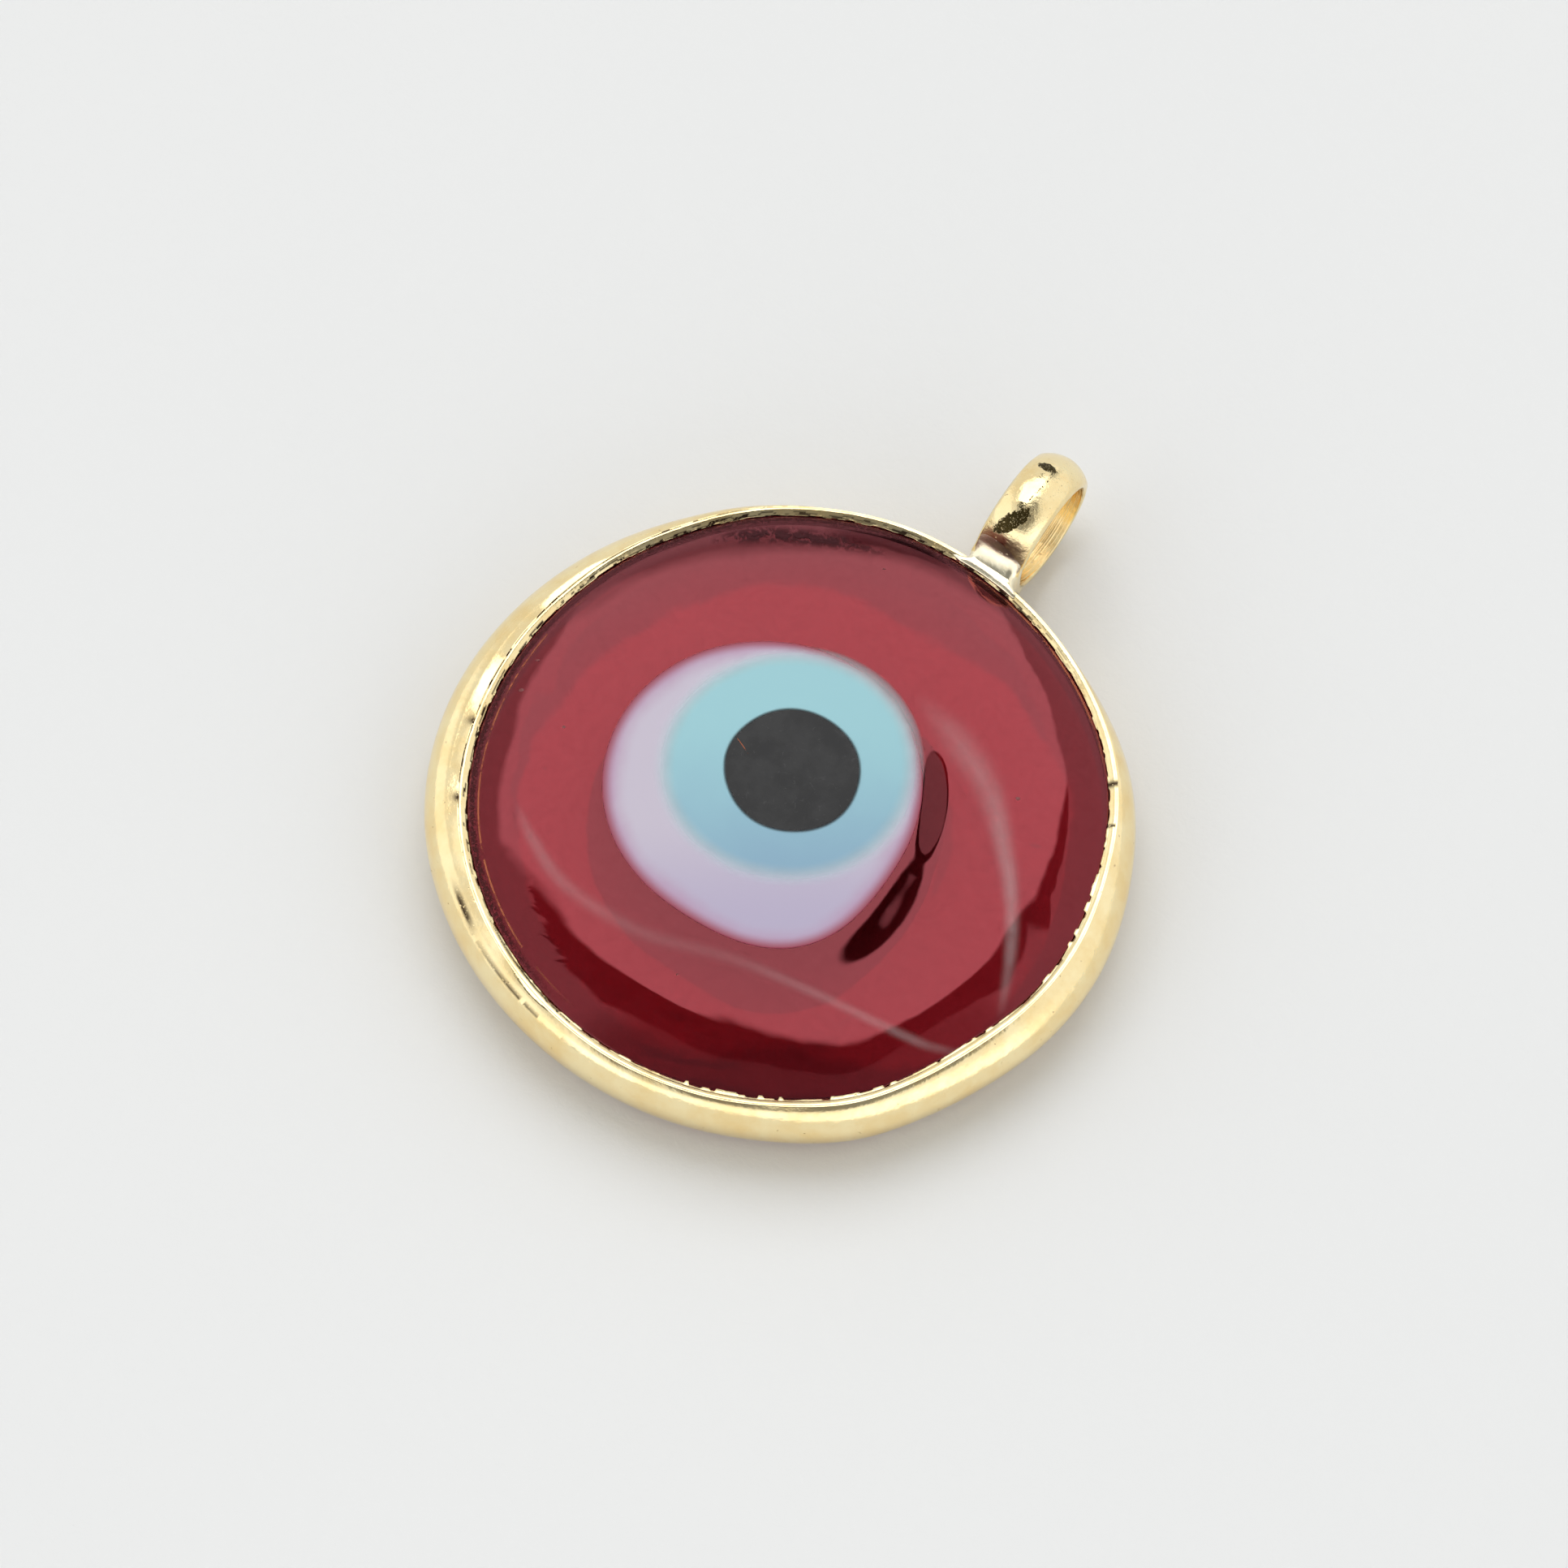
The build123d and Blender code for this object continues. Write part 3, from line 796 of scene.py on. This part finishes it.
def surface_net(distance, low, high, step):
    """Quads on the zero surface of a distance function, with points moved onto it."""
    counts = np.ceil((np.array(high) - np.array(low)) / step).astype(int) + 1
    axes = [low[i] + step * np.arange(counts[i]) for i in range(3)]
    field = distance(np.stack(np.meshgrid(*axes, indexing="ij"), axis=-1))
    inside = field < 0
    total = np.zeros((*(counts - 1), 3))
    number = np.zeros(tuple(counts - 1))
    corners = [(i, j, k) for i in (0, 1) for j in (0, 1) for k in (0, 1)]
    for a in corners:
        for b in corners:
            if sum(b) - sum(a) == 1 and sum(abs(m - n) for m, n in zip(a, b)) == 1:
                fa = field[a[0]:counts[0] - 1 + a[0], a[1]:counts[1] - 1 + a[1], a[2]:counts[2] - 1 + a[2]]
                fb = field[b[0]:counts[0] - 1 + b[0], b[1]:counts[1] - 1 + b[1], b[2]:counts[2] - 1 + b[2]]
                cross = (fa < 0) != (fb < 0)
                share = np.where(cross, fa / np.where(cross, fa - fb, 1.0), 0.0)
                for axis in range(3):
                    total[..., axis] += np.where(cross, a[axis] + share * (b[axis] - a[axis]), 0.0)
                number += cross
    used = number > 0
    index = np.full(used.shape, -1)
    index[used] = np.arange(used.sum())
    cells = np.stack(np.nonzero(used), axis=1)
    points = np.array(low) + step * (cells + total[used] / number[used][:, None])
    for _ in range(2):
        here = distance(points)
        slope = np.stack([(distance(points + e) - distance(points - e)) / 0.004
                          for e in np.eye(3) * 0.002], axis=-1)
        steep = np.maximum((slope**2).sum(-1), 0.25)
        points = points - np.clip(here / steep, -step, step)[:, None] * slope
    faces = []
    for axis in range(3):
        b, c = (axis + 1) % 3, (axis + 2) % 3
        shift = [slice(None)] * 3
        shift[axis] = slice(0, -1)
        first = inside[tuple(shift)]
        shift[axis] = slice(1, None)
        second = inside[tuple(shift)]
        for cell in np.stack(np.nonzero(first != second), axis=1):
            if cell[b] == 0 or cell[c] == 0 or cell[b] >= used.shape[b] or cell[c] >= used.shape[c]:
                continue
            quad = []
            for db, dc in ((0, 0), (-1, 0), (-1, -1), (0, -1)):
                at = cell.copy()
                at[b] += db
                at[c] += dc
                quad.append(int(index[tuple(at)]))
            faces.append(tuple(reversed(quad)) if second[tuple(cell)] else tuple(quad))
    return points, faces


def largest_part(points, quads):
    """The connected part of a mesh with the most points."""
    corners = np.array(quads)
    label = np.arange(len(points))
    while True:
        lowest = label.copy()
        np.minimum.at(lowest, corners.ravel(), np.repeat(label[corners].min(axis=1), 4))
        if (lowest == label).all():
            break
        label = lowest
    keep = label == np.bincount(label).argmax()
    number = np.cumsum(keep) - 1
    return points[keep], [tuple(int(number[i]) for i in quad) for quad in quads if keep[quad[0]]]


neck_points, neck_faces = largest_part(
    *surface_net(neck_distance, (-1.7, 8.3, 0.0), (1.7, 11.2, 4.3), NET_STEP))
# The neck's paler, creamier gold is a painted highlight.
neck = new_mesh("bail_fillet", neck_points, neck_faces, gold("gold_neck", 0.18, 0.24, painted_sheen=0.8, bumpy=0.4))
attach(neck, "root")
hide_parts("bail_neck")


# ---- marks on the surface of the glass ---------------------------------------------------------------
def strand(name, stations, steps, material):
    """A flat, tapering strand through stations (x, y, depth below the front, width, haze), in mm.

    haze, from 0 to 1, is how much the strand hides along its middle, where its material reads it.
    """
    stations = np.array(stations, float)
    t = np.linspace(0, len(stations) - 1, steps)
    low = np.clip(np.floor(t).astype(int), 0, len(stations) - 2)
    f = (t - low)[:, None]
    before = stations[np.maximum(low - 1, 0)]
    a, b = stations[low], stations[low + 1]
    after = stations[np.minimum(low + 2, len(stations) - 1)]
    line = 0.5 * (2 * a + (b - before) * f + (2 * before - 5 * a + 4 * b - after) * f**2
                  + (3 * a - before - 3 * b + after) * f**3)
    along = np.gradient(line[:, :2], axis=0)
    along /= np.linalg.norm(along, axis=1)[:, None]
    across = np.stack([-along[:, 1], along[:, 0]], axis=1)
    rings, haze = [], []
    sides = 20
    for i in range(steps):
        ring = []
        for j in range(sides):
            turn = 2 * math.pi * j / sides
            out, up = math.cos(turn), math.sin(turn)
            width = max(line[i, 3], 0.02) / 2
            x = line[i, 0] + across[i, 0] * width * out
            y = line[i, 1] + across[i, 1] * width * out
            z = float(front_z(np.array([x]), np.array([y]))[0]) - line[i, 2] + 0.05 * width * up
            ring.append((x, y, z))
            haze.append(line[i, 4] * (0.5 - 0.5 * math.cos(math.pi * (1 - abs(out)) ** 1.3)))
        rings.append(ring)
    points, faces = capped_rings(rings, top_first=False)
    piece = new_mesh(name, points, faces, material, {"haze": np.array([0.0, *haze, 0.0])})
    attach(piece, "root")
    return piece


def film(name, scale, dark, light):
    """A thin film on the glass, with gaps: painted dark reflections, dark speckles along the rim, a painted
    orange reflection of the gold lip, and a scratch on the pupil.
    """
    material, t = new_material(name)
    where, _ = t.place()
    brushed = t.noise(where, scale, 5.0, 0.7, 0.6)
    colour = t.mix(brushed, dark, light)
    node, _ = t.shader(colour, 0.35, brushed, 0.01, Specular_IOR_Level=0.1)
    alpha = t.attribute("haze") * brushed.step(0.42, 0.54)
    t.tree.links.new(alpha.socket, node.inputs["Alpha"])
    return material


wisp_material = milky()
strand("wisp_right", [(*seen(3.6, 2.9), 0.0, 0.6, 0.0), (*seen(4.7, 1.7), 0.0, 1.5, 0.10),
                      (*seen(5.6, 0.3), 0.0, 1.3, 0.14), (*seen(6.05, -1.3), 0.0, 0.95, 0.18),
                      (*seen(6.25, -2.9), 0.0, 0.75, 0.19), (*seen(6.2, -4.4), 0.0, 0.60, 0.16),
                      (*seen(5.9, -5.9), 0.0, 0.4, 0.0)], 80, wisp_material)
strand("wisp_left", [(*seen(-7.6, 0.0), 0.0, 0.3, 0.0), (*seen(-7.2, -1.0), 0.0, 0.60, 0.10),
                     (*seen(-6.2, -2.4), 0.0, 0.7, 0.09), (*seen(-4.2, -3.7), 0.0, 0.7, 0.055),
                     (*seen(-1.6, -4.5), 0.0, 0.6, 0.05), (*seen(0.7, -5.4), 0.0, 0.5, 0.09),
                     (*seen(3.6, -6.6), 0.0, 0.5, 0.12), (*seen(5.0, -6.8), 0.0, 0.35, 0.0)],
       90, wisp_material)
# Painted reflection: dark streaks near the far rim of the front.
strand("dark_reflection_streaks", [(*seen(-2.2, 7.45), 0.0, 0.3, 0.0), (*seen(-1.3, 7.62), 0.0, 0.8, 1.0),
                          (*seen(0.0, 7.60), 0.0, 0.9, 1.0), (*seen(1.4, 7.42), 0.0, 0.8, 0.9),
                          (*seen(3.0, 7.02), 0.0, 0.3, 0.0)], 60,
       film("painted_reflection_film", 3.2, (0.020, 0.004, 0.006), (0.075, 0.012, 0.016)))


def rim_strand(name, inwards, start, end, width, haze, material):
    """A strand that follows the rim of the glass between two angles, as the camera sees them."""
    stations = []
    for seen_at in np.linspace(start, end, 12):
        at = seen_at + VIEW_TURN
        reach = RIM_R + float(handmade(np.array(at))) - inwards
        ends = min(1.0, 4 * (seen_at - start) / (end - start), 4 * (end - seen_at) / (end - start))
        stations.append((reach * math.cos(math.radians(at)), reach * math.sin(math.radians(at)), 0.0, width,
                         haze * ends))
    return strand(name, stations, 240, material)


speckles = film("speckle_film", 9.0, (0.030, 0.006, 0.008), (0.10, 0.018, 0.018))
# Painted reflection: an orange line just inside the rim, where the gold lip shows through the edge of the
# glass. The same film makes the scratch on the pupil.
lip_reflection_and_scratch = film("lip_reflection_and_scratch_film", 1.2, (0.42, 0.10, 0.05), (0.60, 0.20, 0.09))
rim_strand("speckles_left", 0.12, 134, 222, 0.34, 1.0, speckles)
rim_strand("speckles_top", 0.10, 40, 128, 0.26, 1.0, speckles)
# Painted reflections of the gold lip in the edge of the glass.
rim_strand("lip_reflection_left", 0.30, 128, 226, 0.09, 0.9, lip_reflection_and_scratch)
rim_strand("lip_reflection_right", 0.06, 6, 58, 0.08, 0.9, lip_reflection_and_scratch)

# Seeds, and one scratch across the pupil.
seeds = seed_material()
for number, (right, up, long, wide) in enumerate(((-7.50, 3.25, 0.16, 0.12), (-7.05, 4.10, 0.14, 0.07),
                                                  (-6.3, 2.05, 0.10, 0.09), (6.45, 0.05, 0.13, 0.11),
                                                  (-3.1, -4.9, 0.08, 0.05), (2.7, 6.6, 0.10, 0.04))):
    strand(f"seed_{number}", [(*seen(right - long / 2, up), 0.0, wide / 3, 0.0),
                              (*seen(right, up), -0.004, wide, 1.0),
                              (*seen(right + long / 2, up), 0.0, wide / 3, 0.0)], 9, seeds)
strand("pupil_scratch", [(*seen(-1.42, 1.50), -0.021, 0.02, 1.0), (*seen(-1.28, 1.30), -0.022, 0.035, 1.0),
                         (*seen(-1.12, 1.06), -0.021, 0.02, 1.0)], 12, lip_reflection_and_scratch)


# ---- floor, light, camera ----------------------------------------------------------------------------
def floor_sheet():
    """A sheet of paper 3.2 m square, a hair below the back of the glass."""
    size, gap, count = 1.6, -0.00003, 9
    mesh = bpy.data.meshes.new("floor")
    steps = np.linspace(-size, size, count)
    points = [(x, y, gap) for y in steps for x in steps]
    mesh.from_pydata(points, [], grid_faces(count, count, close_columns=False))
    mesh.materials.append(paper())
    sheet = bpy.data.objects.new("floor", mesh)
    bpy.context.scene.collection.objects.link(sheet)
    return sheet


floor_sheet()

SOFTBOX_RADIANCE = 2.3
# Sides of the softbox, as slopes from the vertical: right of the middle, and away from the camera.
SOFTBOX_LEFT, SOFTBOX_RIGHT, SOFTBOX_FAR = -0.59, 0.52, 1.33
NEAR_EDGE, STRIP_EDGE = 0.05, -0.14
GAP_DIRECTION = TO_RIGHT * 0.518 + AWAY * 0.80 + Vector((0, 0, 0.297))      # a dark gap beyond the softbox


def room():
    """Light all round: a softbox above and behind, white boards at the sides, dark behind the camera."""
    world = bpy.data.worlds.new("room")
    world.use_nodes = True
    t = Tree(world.node_tree)
    place = t.node("ShaderNodeTexCoord")

    def along(direction):
        node = t.node("ShaderNodeVectorMath", operation="DOT_PRODUCT")
        t.tree.links.new(place.outputs["Generated"], node.inputs[0])
        node.inputs[1].default_value = direction
        return Value(t.tree, node.outputs["Value"])

    height = along((0, 0, 1))
    up = height.math("MAXIMUM", 0.02)
    right, far = along(TO_RIGHT) / up, along(AWAY) / up
    above = height.step(0.01, 0.03)
    # The near edges of the softbox and of the black strip in front of it, both rounded in the middle.
    bend = (((right - 0.03) * (right - 0.03) + 0.0144).math("SQRT") - 0.12) * 0.72 + NEAR_EDGE
    strip = (((right - 0.05) * (right - 0.05) + 0.01).math("SQRT") - 0.10) * 0.60 + STRIP_EDGE
    side_edge = far.step(0.35, 0.60, SOFTBOX_RIGHT - 0.06, SOFTBOX_RIGHT) + far.step(0.60, 1.30, 0.0, 0.07)
    inside = ((far - bend).step(-0.018, 0.030) * far.step(SOFTBOX_FAR - 0.12, SOFTBOX_FAR + 0.12, 1.0, 0.0)
              * right.step(SOFTBOX_LEFT - 0.03, SOFTBOX_LEFT + 0.02)
              * (right - side_edge).step(-0.01, 0.02, 1.0, 0.0) * above)
    streak = t.node("ShaderNodeCombineXYZ")
    t.tree.links.new(far.socket, streak.inputs["X"])
    ragged = right + t.noise(streak.outputs[0], 45.0, 2.0, 0.6) * 0.20 - 0.10
    black = ((far - strip).step(-0.012, 0.018) * far.step(0.45, 0.52, 1.0, 0.0) * ragged.step(-0.46, -0.43)
             * right.step(0.41, 0.45, 1.0, 0.0))
    sliver = (right.step(0.38, 0.42) * right.step(0.525, 0.54, 1.0, 0.0) * far.step(0.18, 0.22)
              * far.step(0.50, 0.60, 1.0, 0.0))
    black = black.math("MAXIMUM", sliver) * above
    beyond = (right.step(0.08, 0.20) * right.step(0.44, 0.56, 1.0, 0.0) * far.step(1.42, 1.56)
              * far.step(1.72, 1.86, 1.0, 0.0) * above)
    behind = along(TO_CAMERA).step(math.cos(math.radians(37)), math.cos(math.radians(25)))
    gap = along(GAP_DIRECTION).step(math.cos(math.radians(9)), math.cos(math.radians(7)))
    side = along(TO_RIGHT).step(-0.70, -0.55, 1.15, 0.84) + along(TO_RIGHT).step(0.0, 0.5, 0.0, 0.16)
    front = along(AWAY).step(-0.75, -0.2, 0.62, 0.0) * height.step(0.20, 0.62, 1.0, 0.0)
    level = (side + front) * behind.step(0.0, 1.0, 1.0, 0.28) * black.step(0.0, 1.0, 1.0, 0.01)
    level = level * gap.step(0.0, 1.0, 1.0, 0.05) * beyond.step(0.0, 1.0, 1.0, 0.15)
    level = level * inside.step(0.0, 1.0, 1.0, 0.0) + inside * SOFTBOX_RADIANCE
    back = t.node("ShaderNodeBackground")
    back.inputs["Color"].default_value = (1.0, 1.0, 0.99, 1.0)
    t.tree.links.new(level.socket, back.inputs["Strength"])
    out = t.node("ShaderNodeOutputWorld")
    t.tree.links.new(back.outputs[0], out.inputs["Surface"])
    return world


bpy.context.scene.world = room()
bpy.context.scene.view_settings.view_transform = "Standard"

camera_data = bpy.data.cameras.new("camera")
camera_data.lens, camera_data.sensor_width = VIEW_LENS, VIEW_SENSOR
camera_data.clip_start, camera_data.clip_end = 0.05, 5.0
camera = bpy.data.objects.new("camera", camera_data)
view_up = AWAY * math.sin(VIEW_ELEVATION) + Vector((0, 0, math.cos(VIEW_ELEVATION)))
aim = (Vector((0, 0, AIM_HEIGHT)) + TO_RIGHT * AIM_RIGHT + view_up * AIM_UP) * MM
camera.location = aim + TO_CAMERA * VIEW_DISTANCE
camera.rotation_mode = "QUATERNION"
camera.rotation_quaternion = (-TO_CAMERA).to_track_quat("-Z", "Y")
bpy.context.scene.collection.objects.link(camera)
bpy.context.scene.camera = camera
